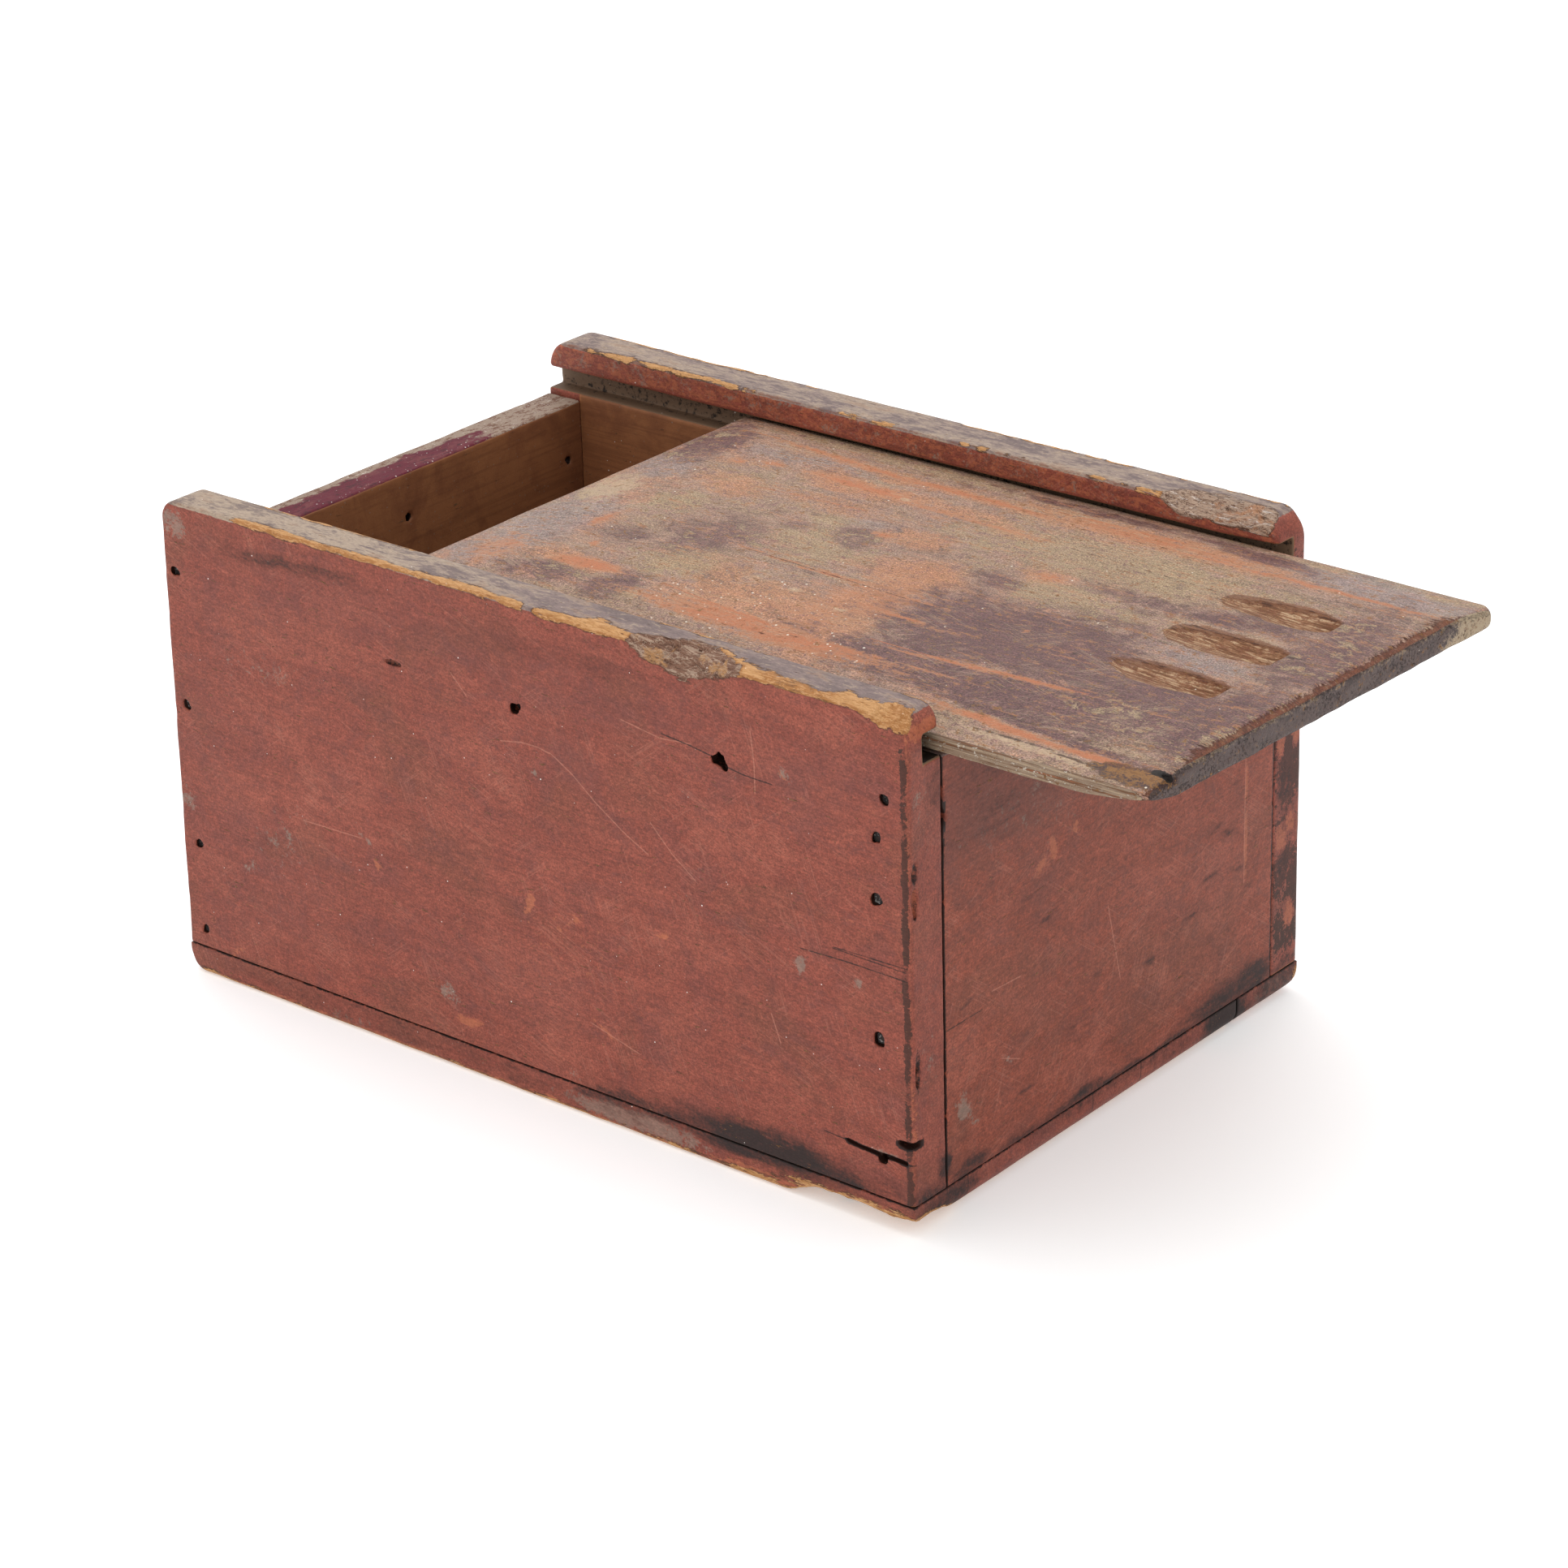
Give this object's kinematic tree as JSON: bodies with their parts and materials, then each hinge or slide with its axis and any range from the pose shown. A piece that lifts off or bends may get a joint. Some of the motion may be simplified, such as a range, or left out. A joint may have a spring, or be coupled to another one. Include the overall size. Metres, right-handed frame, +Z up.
{
  "type": "candle box",
  "caption": "Antique nailed pine candle box in worn red paint, with a bevelled sliding lid drawn out of grooved side boards by finger grips.",
  "frame": {"origin": "centre of the case's underside, on the surface the box stands on", "axes": "+X along the length towards the end where the lid draws out, +Y towards the right side board, +Z up"},
  "size_m": [0.3835, 0.205, 0.1687],
  "materials": {
    "red_milk_paint": "old matt red milk paint over pine, worn at the edges",
    "weathered_pine": "bare pine, grey-tan with dark and orange wear",
    "nail_iron": "dark rusty wrought iron"
  },
  "bodies": {
    "case": {"left_side_board": "red_milk_paint", "right_side_board": "red_milk_paint", "front_end_board": "red_milk_paint", "back_end_board": "red_milk_paint", "bottom_board": "red_milk_paint", "bottom_strip": "red_milk_paint", "left_front_nails": "nail_iron", "left_back_nails": "nail_iron", "right_front_nails": "nail_iron", "right_back_nails": "nail_iron", "left_stray_nail": "nail_iron", "bottom_left_nails": "nail_iron", "bottom_right_nails": "nail_iron", "bottom_front_nails": "nail_iron", "bottom_back_nails": "nail_iron"},
    "lid": {"sliding_lid": "weathered_pine"}
  },
  "joints": [
    {"name": "lid_slide", "type": "slide", "parent": "case", "child": "lid", "axis": [1, 0, 0], "range_m": [-0.0755, 0.2185]}
  ]
}
